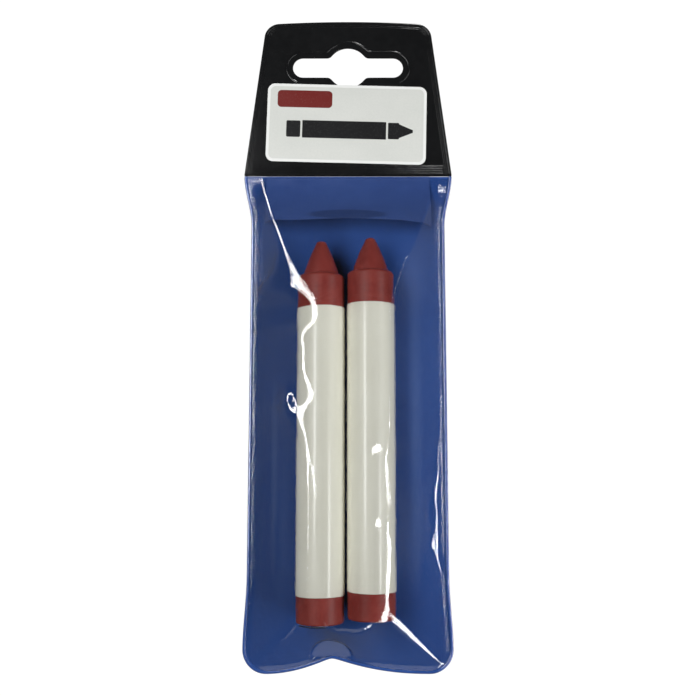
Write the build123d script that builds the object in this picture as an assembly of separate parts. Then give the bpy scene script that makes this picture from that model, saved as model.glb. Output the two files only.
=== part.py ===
from build123d import *

import math
import os

# A hanging PVC wallet that holds two paper-wrapped wax marking crayons.
# It lies on its back: X across, Y from the pouch towards the header, Z out of the front.
# The origin is under the middle of the whole wallet. All sizes are in millimetres.

# Wallet outline
header_length = 43.4
tip_to_seam = 18.94
header_top_width = 44.6
header_top_crown = 0.6
header_corner_radius = 4.2
seam_width = 55.5
waist_width = 51.3
foot_width = 53.0
shoulder_flare_length = 14.0
foot_flare_length = 18.0
foot_corner_radius = 6.0
notch_depth = 3.7
notch_x = -4.0
notch_softness = 1.0
notch_power_left = 1.9
notch_power_right = 2.2

# Films, welds and beads
film_thickness = 0.25
weld_width = 1.7
weld_gap = 0.02
rim_width = 0.7
rim_height = 0.15
rim_gap = 0.25
bead_width = 0.8
bead_height = 0.1
seam_rib_count = 4
seam_rib_pitch = 0.65
seam_rib_width = 0.34
seam_rib_start = 0.5
seam_rib_side_gap = 1.6
fold_gap = 0.1

# Hanging slot and label
slot_width = 29.9
slot_arm_height = 5.6
slot_centre_radius = 5.6
slot_blend_radius = 1.5
slot_below_top = 13.2
slot_outline_offset = 1.4
slot_outline_width = 0.5
label_width = 43.0
label_height = 21.8
label_corner_radius = 2.0
label_thickness = 0.1
label_turn = -1.5
label_x = -0.4
label_above_seam = 14.3
label_gap = 0.1

# Crayons
crayon_length = 95.0
wax_diameter = 11.72
cone_length = 8.8
shoulder_step = 1.3
shoulder_length = 0.95
tip_diameter = 2.8
tip_dome = 0.8
butt_chamfer = 0.35
bare_butt_length = 6.45
paper_length = 71.2
paper_thickness = 0.12
paper_gap = 0.02
paper_lap_angle = 50.0
crayon_side_gap = 0.57
crayon_pair_x = -0.55
left_butt_to_foot = 13.74
right_butt_to_foot = 14.66
slide_clearance = 0.3

# Front film over the crayons, and the tuck flap under its mouth
crest_clearance = 0.45
crest_end_margin = 0.8
weld_bend_radius = 5.0
foot_step = 0.12
mouth_height = 0.9
mouth_side_run = 5.5
mouth_top_bend_radius = 2.0
mouth_weld_bend_radius = 1.5
mouth_edge_gap = 0.4
ridge_power = 1.7
ramp_lead = 0.4
flap_thickness = 0.2
flap_length = 13.6
flap_side_gap = 4.45
flap_root_angle = 1.0
flap_root_radius = 0.2
flap_root_gap = 0.15
flap_back_gap = 0.1

# Sampling of the formula curves and surfaces
side_steps = 36
foot_steps = 18
foot_shares = (0.0, 0.2, 0.4, 0.6, 0.8, 1.0)
level_shares = (0.11,)
ramp_shares = (0.0, 0.12, 0.25, 0.4, 0.55, 0.7, 0.85, 1.0)
flap_shares = (0.34, 0.67, 1.0)

# Worked-out places
pouch_length = max(left_butt_to_foot, right_butt_to_foot) + crayon_length + tip_to_seam
pack_length = header_length + pouch_length
bottom_y = -pack_length / 2
top_y = pack_length / 2
seam_y = bottom_y + pouch_length
back_top_y = seam_y - film_thickness - fold_gap
foot_corner_x = foot_width / 2 - foot_corner_radius
foot_corner_y = bottom_y + foot_corner_radius
header_top_z = 2 * film_thickness
wax_radius = wax_diameter / 2
sleeve_inner_radius = wax_radius + paper_gap
sleeve_radius = sleeve_inner_radius + paper_thickness
lap_radius = sleeve_radius + paper_thickness
crayon_z = header_top_z + bead_height + slide_clearance + lap_radius
crayon_spacing = 2 * sleeve_radius + crayon_side_gap
left_crayon_x = crayon_pair_x - crayon_spacing / 2
right_crayon_x = crayon_pair_x + crayon_spacing / 2
left_butt_y = bottom_y + left_butt_to_foot
right_butt_y = bottom_y + right_butt_to_foot
weld_z = film_thickness + weld_gap
crest_rise = crayon_z + sleeve_radius + crest_clearance - weld_z
crest_half = crayon_spacing / 2 + abs(crayon_pair_x)
crest_bend_radius = sleeve_radius + crest_clearance
crest_low_y = min(left_butt_y, right_butt_y) + crest_end_margin
ramp_y = max(left_butt_y, right_butt_y) + crayon_length - cone_length - shoulder_length - ramp_lead
land_y = bottom_y + notch_depth + weld_width
flap_root_y = seam_y - film_thickness - flap_root_gap - flap_root_radius
flap_root_z = film_thickness + flap_back_gap + flap_root_radius
flap_half = seam_width / 2 - weld_width - flap_side_gap
mouth_y = flap_root_y - mouth_edge_gap
slot_y = top_y - slot_below_top
label_y = seam_y + label_above_seam


def smooth_step(t):
    """0 below 0, 1 above 1, and a smooth S between them."""
    t = min(max(t, 0.0), 1.0)
    return t * t * (3.0 - 2.0 * t)


def half_width(y):
    """Half the wallet's width at y: the waist, flared to the seam above and to the foot below."""
    flare = smooth_step((y - seam_y + shoulder_flare_length) / shoulder_flare_length)
    foot = smooth_step((foot_corner_y + foot_flare_length - y) / foot_flare_length)
    return (waist_width + (seam_width - waist_width) * flare + (foot_width - waist_width) * foot) / 2


def foot_edge(x):
    """Height of the bottom edge at x: a notch drawn up between the crayons, that falls away on each
    side to a lobe beside the corner."""
    side = 1 if x > notch_x else -1
    power = notch_power_right if x > notch_x else notch_power_left
    reach = math.hypot(side * foot_corner_x - notch_x, notch_softness) - notch_softness
    distance = math.hypot(x - notch_x, notch_softness) - notch_softness
    return bottom_y + notch_depth * max(0.0, 1.0 - distance / reach) ** power


def pouch_face(inset, end_y):
    """The pouch's outline as a face, drawn in by inset at its sides and foot, and cut level at end_y."""
    corner = foot_corner_radius - inset
    rise = (end_y - foot_corner_y) / side_steps
    levels = [foot_corner_y + rise * i for i in range(side_steps + 1)]
    right = [(half_width(y) - inset, y) for y in levels]
    left = [(-x, y) for x, y in reversed(right)]
    places = [foot_corner_x * (2 * i / foot_steps - 1) for i in range(foot_steps + 1)]
    foot = [(x, foot_edge(x) + inset) for x in places]
    curves = [
        Spline(*right),
        Line(right[-1], left[0]),
        Spline(*left),
        CenterArc((-foot_corner_x, foot_corner_y), corner, 180, 90),
        Spline(*foot, tangents=[(1, 0), (1, 0)]),
        CenterArc((foot_corner_x, foot_corner_y), corner, 270, 90),
    ]
    return make_face(Wire(curves))


def inner_face():
    """The part of the back panel inside the weld's bead and above its land."""
    rise = (back_top_y - land_y) / side_steps
    levels = [land_y + rise * i for i in range(side_steps + 1)]
    right = [(half_width(y) - rim_width, y) for y in levels]
    left = [(-x, y) for x, y in reversed(right)]
    curves = [Spline(*right), Line(right[-1], left[0]), Spline(*left), Line(left[-1], right[0])]
    return make_face(Wire(curves))


def film_shape(y):
    """The front film across the wallet at y: the level part's half width and height above the weld, the
    radii of its bends at the top and at the weld, and the half width at the weld. It rises in an S-curve
    from the foot, runs level over the crayons, and ramps down to the mouth while the level part widens."""
    rise = smooth_step((y - land_y) / (crest_low_y - land_y))
    ramp = min(max((y - ramp_y) / (mouth_y - ramp_y), 0.0), 1.0)
    widen = 1.0 - (1.0 - ramp) ** ridge_power
    fall = smooth_step(ramp)
    weld_x = half_width(y) - weld_width
    level_half = crest_half + (weld_x - mouth_side_run - crest_half) * widen
    height = foot_step + (crest_rise - foot_step) * rise + (mouth_height - crest_rise) * fall
    top_bend = crest_bend_radius + (mouth_top_bend_radius - crest_bend_radius) * widen
    weld_bend = weld_bend_radius + (mouth_weld_bend_radius - weld_bend_radius) * widen
    return level_half, height, top_bend, weld_bend, weld_x


def side_slope(level_half, height, top_bend, weld_bend, weld_x):
    """Angle of the straight stretch that joins two bends of given radii over a given run and height."""
    run = weld_x - level_half
    bends = top_bend + weld_bend
    return math.atan2(height - bends, run) + math.asin(bends / math.hypot(run, height - bends))


def mirrored(half):
    """A profile's right half, joined to its mirror image on the left."""
    return half + [mirror(edge, Plane.YZ).edge() for edge in half]


def section_face(y, edges):
    """A closed profile in X and Z, stood up at y."""
    upright = Plane(origin=(0, y, 0), x_dir=(1, 0, 0), z_dir=(0, -1, 0))
    return upright * make_face(edges)


def film_section(y):
    """The front film's profile at y: flat on the weld, a bend up, a straight slope, a bend over, level."""
    level_half, height, top_bend, weld_bend, weld_x = film_shape(y)
    slope = side_slope(level_half, height, top_bend, weld_bend, weld_x)
    turn = math.degrees(slope)
    level_z = weld_z + height
    edge_x = half_width(y) - rim_width - rim_gap
    top_centre = (level_half, level_z - top_bend)
    weld_centre = (weld_x, weld_z + weld_bend)
    half = []
    for lift in (0.0, film_thickness):
        over = CenterArc(top_centre, top_bend + lift, 90 - turn, turn)
        under = CenterArc(weld_centre, weld_bend - lift, 270 - turn, turn)
        half += [
            Line((0, level_z + lift), (level_half, level_z + lift)),
            over,
            Line(over @ 0, under @ 0),
            under,
            Line((weld_x, weld_z + lift), (edge_x, weld_z + lift)),
        ]
    half.append(Line((edge_x, weld_z), (edge_x, weld_z + film_thickness)))
    return section_face(y, mirrored(half))


def flap_section(y, slope, top_bend, level_half, low_z):
    """The flap's profile at y: level, a short fold at each side, and its ends turned down at a slope."""
    centre = Vector(level_half, low_z - top_bend)
    half = []
    ends = []
    for lift in (0.0, flap_thickness):
        fold = (level_half, low_z + lift)
        start = centre + (top_bend + lift) * Vector(math.sin(slope), math.cos(slope))
        drop = (flap_half - level_half - top_bend * math.sin(slope)) * math.tan(slope)
        reach = drop / math.sin(slope)
        end = start + Vector(reach * math.cos(slope), -reach * math.sin(slope))
        ends.append(end)
        half += [Line((0, low_z + lift), fold), Line(fold, start), Line(start, end)]
    half.append(Line(ends[0], ends[1]))
    return section_face(y, mirrored(half))


def slab(face, low_z, thickness):
    """A flat plate of a face."""
    return Pos(0, 0, low_z) * extrude(face, amount=thickness, dir=(0, 0, 1))


def header_face(inset):
    """The header's outline as a face: a trapezoid with a crowned top and round upper corners."""
    seam_x = seam_width / 2 - inset
    top_x = header_top_width / 2 - inset
    side_y = top_y - header_top_crown - inset
    crown = ThreePointArc((top_x, side_y), (0, top_y - inset), (-top_x, side_y))
    lower = Polyline((-top_x, side_y), (-seam_x, seam_y), (seam_x, seam_y), (top_x, side_y))
    face = make_face(Wire([crown, *lower.edges()]))
    corners = [v for v in face.vertices() if v.Y > seam_y + header_length / 2]
    return fillet(corners, header_corner_radius - inset)


def slot_face(grow):
    """The hanging slot's outline: a long slot across a round middle, with blended inner corners."""
    arms = SlotOverall(slot_width + 2 * grow, slot_arm_height + 2 * grow)
    middle = Circle(slot_centre_radius + grow)
    outline = arms + middle
    inner_x = math.sqrt((slot_centre_radius + grow) ** 2 - (slot_arm_height / 2 + grow) ** 2)
    corners = [v for v in outline.vertices() if abs(abs(v.X) - inner_x) < slot_blend_radius / 10]
    return Pos(0, slot_y) * fillet(corners, slot_blend_radius)


def label_face(grow):
    """The label's outline, turned a little on the header."""
    outline = RectangleRounded(label_width + 2 * grow, label_height + 2 * grow, label_corner_radius + grow)
    return Pos(label_x, label_y) * Rot(0, 0, label_turn) * outline


def fold_root(keep):
    """Half of the round bead along the header's lower edge, on the fold line."""
    bead = Pos(0, seam_y, film_thickness) * Rot(0, 90, 0) * Cylinder(film_thickness, seam_width)
    return split(bead, Plane.XY.offset(film_thickness), keep=keep)


def make_back_panel():
    """The flat back film, with the weld's bead up its sides and the weld's land across its foot."""
    rim = pouch_face(0, back_top_y) - inner_face()
    plate = slab(pouch_face(0, back_top_y), 0, film_thickness)
    return plate + slab(rim, film_thickness, film_thickness + rim_height)


def make_front_panel():
    """The clear front film, welded flat along its sides and drawn up over the crayons."""
    foot = [land_y + (crest_low_y - land_y) * share for share in foot_shares]
    level = [crest_low_y + (ramp_y - crest_low_y) * share for share in level_shares]
    ramp = [ramp_y + (mouth_y - ramp_y) * share for share in ramp_shares]
    return loft([film_section(y) for y in foot + level + ramp], ruled=True)


def make_header_back():
    """The header's rear ply."""
    ply = slab(header_face(0) - slot_face(0), 0, film_thickness)
    return ply + fold_root(Keep.BOTTOM)


def make_header_front():
    """The header's front ply, with its rim bead, the line round the slot and the seam's weld ribs."""
    ply = slab(header_face(0) - slot_face(0), film_thickness, film_thickness)
    rim = header_face(0) - header_face(bead_width)
    slot_line = slot_face(slot_outline_offset + slot_outline_width) - slot_face(slot_outline_offset)
    raised = rim + (slot_line - label_face(label_gap))
    front = ply + fold_root(Keep.TOP) + slab(raised, header_top_z, bead_height)
    rib_length = seam_width - 2 * (bead_width + seam_rib_side_gap)
    for i in range(seam_rib_count):
        rib_y = seam_y + seam_rib_start + seam_rib_pitch * i
        rib = Pos(0, rib_y) * Rectangle(rib_length, seam_rib_width)
        front = front + slab(rib, header_top_z, bead_height)
    return front


def make_label():
    """The plain paper label on the header."""
    return slab(label_face(0), header_top_z, label_thickness)


def make_tuck_flap():
    """The flap that hangs from the seam on a round root and tucks in behind the front film."""
    root_low_z = flap_root_z - flap_thickness / 2
    root_level_half = half_width(flap_root_y) - weld_width - mouth_side_run
    mouth_gap = mouth_height + weld_z - root_low_z - flap_thickness
    root_slope = math.radians(flap_root_angle)
    sections = [flap_section(flap_root_y, root_slope, mouth_top_bend_radius, root_level_half, root_low_z)]
    for share in flap_shares:
        y = flap_root_y - flap_length * share
        level_half, height, top_bend, weld_bend, weld_x = film_shape(y)
        slope = side_slope(level_half, height, top_bend, weld_bend, weld_x)
        low_z = weld_z + height - mouth_gap - flap_thickness
        bend = top_bend - mouth_gap - flap_thickness
        sections.append(flap_section(y, slope, bend, level_half, low_z))
    root = Pos(0, flap_root_y, flap_root_z) * Rot(0, 90, 0) * Cylinder(flap_root_radius, 2 * flap_half)
    return loft(sections, ruled=True) + root


def make_wax_stick():
    """The wax stick along +Y from its butt: a broken edge, a plain body, a stepped shoulder and a blunt
    cone with a domed end."""
    cone_y = crayon_length - cone_length
    cone_radius = wax_radius - shoulder_step
    tip_radius = tip_diameter / 2
    dome_y = crayon_length - tip_dome
    dome_radius = (tip_radius**2 + tip_dome**2) / (2 * tip_dome)
    half_angle = math.asin(tip_radius / dome_radius) / 2
    dome_middle = (
        dome_radius * math.sin(half_angle),
        crayon_length - dome_radius * (1 - math.cos(half_angle)),
    )
    side = Polyline(
        (0, crayon_length),
        (0, 0),
        (wax_radius - butt_chamfer, 0),
        (wax_radius, butt_chamfer),
        (wax_radius, cone_y - shoulder_length),
        (cone_radius, cone_y),
        (tip_radius, dome_y),
    )
    dome = ThreePointArc((tip_radius, dome_y), dome_middle, (0, crayon_length))
    return revolve(make_face(Wire([*side.edges(), dome])), axis=Axis.Y)


def make_paper_sleeve():
    """The rolled paper sleeve, with the lap of its glued edge along the underside."""
    middle_y = bare_butt_length + paper_length / 2
    paper = Rectangle(paper_thickness, paper_length)
    wall = Pos(sleeve_inner_radius + paper_thickness / 2, middle_y) * paper
    lap = Pos(sleeve_radius + paper_thickness / 2, middle_y) * paper
    tube = revolve(wall, axis=Axis.Y)
    lap_strip = revolve(lap, axis=Axis.Y, revolution_arc=paper_lap_angle)
    return tube + Rot(0, 90 - paper_lap_angle / 2, 0) * lap_strip


def make_parts():
    """Every piece of the wallet by name."""
    wax_stick = make_wax_stick()
    paper_sleeve = make_paper_sleeve()
    left_place = Pos(left_crayon_x, left_butt_y, crayon_z)
    right_place = Pos(right_crayon_x, right_butt_y, crayon_z)
    return {
        "back_panel": make_back_panel(),
        "front_panel": make_front_panel(),
        "header_back": make_header_back(),
        "header_front": make_header_front(),
        "label": make_label(),
        "tuck_flap": make_tuck_flap(),
        "left_wax_stick": left_place * wax_stick,
        "left_paper_sleeve": left_place * paper_sleeve,
        "right_wax_stick": right_place * wax_stick,
        "right_paper_sleeve": right_place * paper_sleeve,
    }


os.makedirs("parts", exist_ok=True)
for name, piece in make_parts().items():
    export_step(piece, os.path.join("parts", name + ".step"))
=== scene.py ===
"""Looks for two wax marking crayons in a hanging film wallet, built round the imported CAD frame.

Lengths are in millimetres, in the frame's own axes: X across the wallet, Y from the pouch towards the
header, Z out of the clear front. They become metres where a mesh or a lamp is made.
"""

import math

import bmesh
import bpy
import numpy as np
from mathutils import Matrix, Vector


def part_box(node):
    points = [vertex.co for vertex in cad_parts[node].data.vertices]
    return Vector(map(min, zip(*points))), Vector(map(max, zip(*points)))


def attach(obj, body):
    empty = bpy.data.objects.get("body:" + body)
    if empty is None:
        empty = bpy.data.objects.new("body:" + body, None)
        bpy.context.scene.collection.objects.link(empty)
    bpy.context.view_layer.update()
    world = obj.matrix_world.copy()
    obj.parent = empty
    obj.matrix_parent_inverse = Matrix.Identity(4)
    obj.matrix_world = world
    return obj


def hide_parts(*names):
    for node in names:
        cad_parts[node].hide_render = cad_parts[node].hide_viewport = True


MM = 0.001
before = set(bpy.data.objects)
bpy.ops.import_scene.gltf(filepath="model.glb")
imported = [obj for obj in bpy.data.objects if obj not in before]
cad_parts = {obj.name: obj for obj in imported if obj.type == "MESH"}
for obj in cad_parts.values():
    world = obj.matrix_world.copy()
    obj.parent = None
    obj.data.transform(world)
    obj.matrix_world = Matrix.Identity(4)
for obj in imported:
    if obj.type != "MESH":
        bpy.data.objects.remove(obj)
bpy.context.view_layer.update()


def node_box(name):
    """A CAD node's lowest and highest corner, in millimetres."""
    low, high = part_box(name)
    return np.array(low) / MM, np.array(high) / MM


# Places and sizes read from the frame
back_low, back_high = node_box("back_panel")
header_low, header_high = node_box("header_front")
film_low, film_high = node_box("front_panel")
flap_low, flap_high = node_box("tuck_flap")
label_low, label_high = node_box("label")

# Wallet outline
FILM = 0.25
BOTTOM_Y = back_low[1]
BACK_TOP_Y = back_high[1]
TOP_Y = header_high[1]
SEAM_Y = header_low[1] + FILM
SEAM_HALF = back_high[0]
WAIST_HALF = 25.65
FOOT_HALF = 26.5
SHOULDER_FLARE = 14.0
FOOT_FLARE = 18.0
FOOT_CORNER = 6.0
FOOT_CORNER_X = FOOT_HALF - FOOT_CORNER
FOOT_CORNER_Y = BOTTOM_Y + FOOT_CORNER
NOTCH_DEPTH = 3.7
NOTCH_X = -4.0
NOTCH_SOFTNESS = 1.0
NOTCH_POWER_LEFT = 1.9
NOTCH_POWER_RIGHT = 2.2

# Header, slot and label
HEADER_TOP_HALF = 22.3
HEADER_CROWN = 0.6
HEADER_CORNER = 4.2
HEADER_TOP_Z = 2 * FILM
HEADER_STEPS = 160
RIM_START = 0.3
RIM_LINES = ((0.42, 0.7, 0.16), (1.15, 0.26, 0.09), (1.6, 0.24, 0.07))
LINE_SUNK = 0.02
LINE_RISE = 0.16
SLOT_LINE_WIDTH = 0.6
RIB_COUNT = 4
RIB_START = 0.5
RIB_PITCH = 0.65
RIB_WIDTH = 0.42
RIB_SHORT = 2.4
FOLD_SHORT = 0.15
BROKEN_EDGE = 0.06
SLOT_Y = TOP_Y - 13.2
SLOT_HALF = 14.95
SLOT_ARM = 2.8
SLOT_MIDDLE = 5.6
SLOT_BLEND = 1.5
SLOT_LINE_OFFSET = 1.65
SLOT_CORNER_X = 4.9
SLOT_CORNER_SPREAD = 1.6
LABEL_CENTRE = (label_low + label_high) / 2
LABEL_TURN = math.radians(-1.5)
LABEL_HALF_X = 21.5
LABEL_HALF_Y = 10.9
LABEL_CORNER = 2.0
LABEL_BORDER = 0.75
SIGN_Y = -1.7
LABEL_Z = label_high[2]

# Clear front film
RIM_WIDTH = 0.85
RIM_FOOT_Z = 0.12
BACK_INSET = 0.05
RIM_TOP_Z = back_high[2]
FILM_EDGE = 0.95
WELD = 1.7
WELD_Z = film_low[2]
CREST_RISE = film_high[2] - FILM - WELD_Z
FOOT_STEP = 0.12
WELD_LINES = (1.2, 1.55)
WELD_LINE_RISE = 0.07
WELD_LINE_HALF = 0.1
EDGE_BAND = 1.3
MOUTH_Y = film_high[1]
MOUTH_HEIGHT = 0.9
RAMP_Y = 13.5

# Tuck flap
FLAP_HALF = flap_high[0]
FLAP_ROOT_Y = 42.0
FLAP_ROOT_Z = 0.55
FLAP_LOW_Y = flap_low[1]
FLAP_THICKNESS = 0.2
FLAP_BELOW_FILM = 0.55
FLAP_EDGE = 0.65
FLAP_DIP = 0.9
FLAP_DIP_X = 12.0
FLAP_DIP_RUN = 9.0
FLAP_SWAY = 0.25
FLAP_SWAY_LENGTH = 5.2
FLAP_TOUCH = 0.28
FLAP_TOUCH_PLACE = (1.0, 31.0)
FLAP_TOUCH_HALF = (9.0, 1.8)
FLAP_WAVE = 0.12
FLAP_WAVE_LENGTH = 2.1
FLAP_WAVE_Y = 39.5
FLAP_WAVE_HALF = 1.6

# Crayons
CRAYON_LENGTH = 95.0
WAX_RADIUS = 5.86
CONE_LENGTH = 8.8
CONE_BULGE = 0.22
SHOULDER_STEP = 1.3
SHOULDER_LENGTH = 0.95
TIP_RADIUS = 1.4
TIP_DOME = 0.8
BUTT_ROUND = 0.45
WAX_WEAR = 0.022
PAPER_THICKNESS = 0.12
PAPER_RADIUS = 6.0
LAP_HALF = math.radians(25.0)
LAP_EDGE = 0.05
END_SWAY = 0.07
END_SHORT = 0.1
REST_RADIUS = PAPER_RADIUS + 0.12
CRAYONS = []
for crayon_node in ("left_wax_stick", "right_wax_stick"):
    crayon_low, crayon_high = node_box(crayon_node)
    crayon_middle = (crayon_low + crayon_high) / 2
    CRAYONS.append((crayon_middle[0], crayon_low[1], crayon_middle[2]))


def smooth_step(t):
    """0 below 0, 1 above 1 and a smooth S between them, for whole arrays."""
    t = np.clip(t, 0.0, 1.0)
    return t * t * (3.0 - 2.0 * t)


def half_width(y):
    """Half the pouch's width at y: the waist, flared to the seam above and to the foot below."""
    shoulder = smooth_step((y - SEAM_Y + SHOULDER_FLARE) / SHOULDER_FLARE)
    foot = smooth_step((FOOT_CORNER_Y + FOOT_FLARE - y) / FOOT_FLARE)
    return WAIST_HALF + (SEAM_HALF - WAIST_HALF) * shoulder + (FOOT_HALF - WAIST_HALF) * foot


def foot_line(x):
    """The pouch's bottom edge at x: a notch drawn up at NOTCH_X that falls away as a power of the distance
    to a lobe on each side, and a quarter circle at each corner."""
    side = np.where(x > NOTCH_X, 1.0, -1.0)
    power = np.where(x > NOTCH_X, NOTCH_POWER_RIGHT, NOTCH_POWER_LEFT)
    reach = np.hypot(side * FOOT_CORNER_X - NOTCH_X, NOTCH_SOFTNESS) - NOTCH_SOFTNESS
    distance = np.hypot(x - NOTCH_X, NOTCH_SOFTNESS) - NOTCH_SOFTNESS
    lobe = NOTCH_DEPTH * np.clip(1.0 - distance / reach, 0.0, 1.0) ** power
    beyond = np.clip(np.abs(x) - FOOT_CORNER_X, 0.0, FOOT_CORNER)
    corner = FOOT_CORNER - np.sqrt(FOOT_CORNER**2 - beyond**2)
    return BOTTOM_Y + lobe + corner


def pouch_path(end_y):
    """The pouch's outline as an open path: down the left side, round the foot and up the right side."""
    side_y = np.linspace(end_y, FOOT_CORNER_Y, 150)
    turn = np.linspace(0.0, math.pi / 2, 24)[1:-1]
    foot_x = np.linspace(-FOOT_CORNER_X, FOOT_CORNER_X, 140)
    left = np.stack([-half_width(side_y), side_y], 1)
    corner_x = FOOT_CORNER_X + FOOT_CORNER * np.cos(turn)
    corner_y = FOOT_CORNER_Y - FOOT_CORNER * np.sin(turn)
    left_corner = np.stack([-corner_x, corner_y], 1)
    foot = np.stack([foot_x, foot_line(foot_x)], 1)
    mirror = np.array([-1.0, 1.0])
    return np.concatenate([left, left_corner, foot, left_corner[::-1] * mirror, left[::-1] * mirror])


def grid_faces(rows, columns, wrap_rows, wrap_columns):
    """Quads between the neighbours of a grid of points numbered row by row."""
    row = np.arange(rows if wrap_rows else rows - 1)[:, None]
    column = np.arange(columns if wrap_columns else columns - 1)[None, :]
    next_row = (row + 1) % rows
    next_column = (column + 1) % columns
    corners = [
        row * columns + column,
        row * columns + next_column,
        next_row * columns + next_column,
        next_row * columns + column,
    ]
    return np.stack(np.broadcast_arrays(*corners), -1).reshape(-1, 4)


def capped(rings):
    """Rings of points with one more ring at each end, drawn together to that end's middle."""
    ends = [np.broadcast_to(rings[i].mean(0), rings[i].shape)[None] for i in (0, -1)]
    return np.concatenate([ends[0], rings, ends[1]])


def shell_rings(upper, lower):
    """Rings that run along each row of an upper grid and back along the lower one, as a closed thin shell
    has. The first and the last ring are squeezed flat, which closes the shell's two ends."""
    rings = np.concatenate([upper, lower[:, ::-1]], 1)
    flat = []
    for i in (0, -1):
        middle = (upper[i] + lower[i]) / 2
        flat.append(np.concatenate([middle, middle[::-1]])[None])
    return np.concatenate([flat[0], rings, flat[1]])


def sweep(path, profile, closed):
    """A profile carried along a path in plan. A profile point is a distance to the path's left and a height,
    and left is the path's direction turned by a right angle."""
    ahead = np.roll(path, -1, 0)
    behind = np.roll(path, 1, 0)
    if not closed:
        ahead[-1] = path[-1]
        behind[0] = path[0]
    along = ahead - behind
    along /= np.linalg.norm(along, axis=1, keepdims=True)
    left = np.stack([-along[:, 1], along[:, 0]], 1)
    plan = path[:, None, :] + left[:, None, :] * profile[None, :, :1]
    height = np.broadcast_to(profile[None, :, 1:], plan.shape[:2] + (1,))
    return np.concatenate([plan, height], 2)


def half_round(middle, width, low_z, high_z, count=13):
    """A closed profile with a flat underside and a half ellipse on top, middle away from the path."""
    turn = np.linspace(0.0, math.pi, count)
    d = middle - width / 2 * np.cos(turn)
    z = low_z + (high_z - low_z) * np.sin(turn)
    return np.stack([d, z], 1)


def add_piece(name, surfaces, material, sharp_degrees=60.0):
    """Makes one object of several surfaces, each (grid of points, rows wrap, columns wrap). Doubled points
    are merged, faces turned outwards and all shaded smooth, with edges sharper than the angle left sharp."""
    points = []
    faces = []
    start = 0
    for grid, wrap_rows, wrap_columns in surfaces:
        rows, columns = grid.shape[:2]
        points.append(grid.reshape(-1, 3))
        faces.append(start + grid_faces(rows, columns, wrap_rows, wrap_columns))
        start += rows * columns
    points = np.concatenate(points) * MM
    faces = np.concatenate(faces)
    mesh = bpy.data.meshes.new(name)
    mesh.vertices.add(len(points))
    mesh.vertices.foreach_set("co", points.astype(np.float32).ravel())
    mesh.loops.add(faces.size)
    mesh.loops.foreach_set("vertex_index", faces.astype(np.int32).ravel())
    mesh.polygons.add(len(faces))
    mesh.polygons.foreach_set("loop_start", np.arange(0, faces.size, 4, dtype=np.int32))
    mesh.update(calc_edges=True)
    shape = bmesh.new()
    shape.from_mesh(mesh)
    bmesh.ops.remove_doubles(shape, verts=shape.verts, dist=2e-6)
    bmesh.ops.recalc_face_normals(shape, faces=shape.faces)
    shape.to_mesh(mesh)
    shape.free()
    mesh.shade_smooth()
    mesh.set_sharp_from_angle(angle=math.radians(sharp_degrees))
    mesh.materials.append(material)
    piece = bpy.data.objects.new(name, mesh)
    bpy.context.scene.collection.objects.link(piece)
    return piece


def place_piece(piece, body, slot, *nodes):
    """A piece rides on a body and stands for CAD nodes. Its slot is not used."""
    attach(piece, body)
    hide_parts(*nodes)
    return piece


# Shader helpers
class Tree:
    """The node tree of a material, a node group, a lamp or the world. Its ways to add a node take sockets or
    plain values, and most of them give the new node's result."""

    def __init__(self, node_tree):
        self.nodes = node_tree.nodes
        self.links = node_tree.links

    def feed(self, socket, value):
        """Links a socket to another one, or sets its plain value."""
        if isinstance(value, bpy.types.NodeSocket):
            self.links.new(value, socket)
        elif value is not None:
            socket.default_value = value

    def fill(self, node, inputs):
        """Feeds a node's inputs, given by name or number."""
        for key, value in inputs.items():
            self.feed(node.inputs[key], value)

    def add(self, kind, inputs=(), **settings):
        """A new node with its settings and inputs."""
        node = self.nodes.new("ShaderNode" + kind)
        for name, value in settings.items():
            setattr(node, name, value)
        self.fill(node, dict(inputs))
        return node

    def math(self, operation, *values):
        """A Math node's result."""
        return self.add("Math", enumerate(values), operation=operation).outputs[0]

    def vector(self, operation, a, b=None, scale=None):
        """A Vector Math node's result."""
        node = self.add("VectorMath", {0: a, 1: b, 3: scale}, operation=operation)
        return node.outputs[1 if operation == "LENGTH" else 0]

    def split(self, vector):
        """A vector's X, Y and Z."""
        return self.add("SeparateXYZ", {0: vector}).outputs

    def ramp(self, value, low, high, out_low=0.0, out_high=1.0):
        """A smooth Map Range from low..high to out_low..out_high."""
        inputs = enumerate((value, low, high, out_low, out_high))
        return self.add("MapRange", inputs, interpolation_type="SMOOTHSTEP").outputs[0]

    def mix(self, factor, first, second):
        """A colour Mix node's result."""
        return self.add("Mix", {0: factor, 6: first, 7: second}, data_type="RGBA").outputs[2]

    def noise(self, place, scale, detail, roughness=0.5):
        """A Noise Texture's value at a place."""
        inputs = {"Vector": place, "Scale": scale, "Detail": detail, "Roughness": roughness}
        return self.add("TexNoise", inputs).outputs["Fac"]

    def bump(self, height, depth_mm):
        """A Bump node's normal for a height from 0 to 1 that stands for a depth in millimetres."""
        return self.add("Bump", {"Distance": depth_mm * MM, "Height": height}).outputs["Normal"]

    def group(self, group, **values):
        """The result of a node group, whose inputs' names have spaces for underscores."""
        inputs = {name.replace("_", " "): value for name, value in values.items()}
        return self.add("Group", inputs, node_tree=group).outputs[0]

    def show_mix(self, factor, first, second, output="Material Output"):
        """Puts a mix of two shader nodes on the tree's output."""
        mix = self.add("MixShader", {0: factor, 1: first.outputs[0], 2: second.outputs[0]})
        self.feed(self.nodes[output].inputs["Surface"], mix.outputs[0])


def new_material(name):
    """A node material with its tree and Principled shader."""
    material = bpy.data.materials.new(name)
    material.use_nodes = True
    tree = Tree(material.node_tree)
    return material, tree, tree.nodes["Principled BSDF"]


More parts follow.
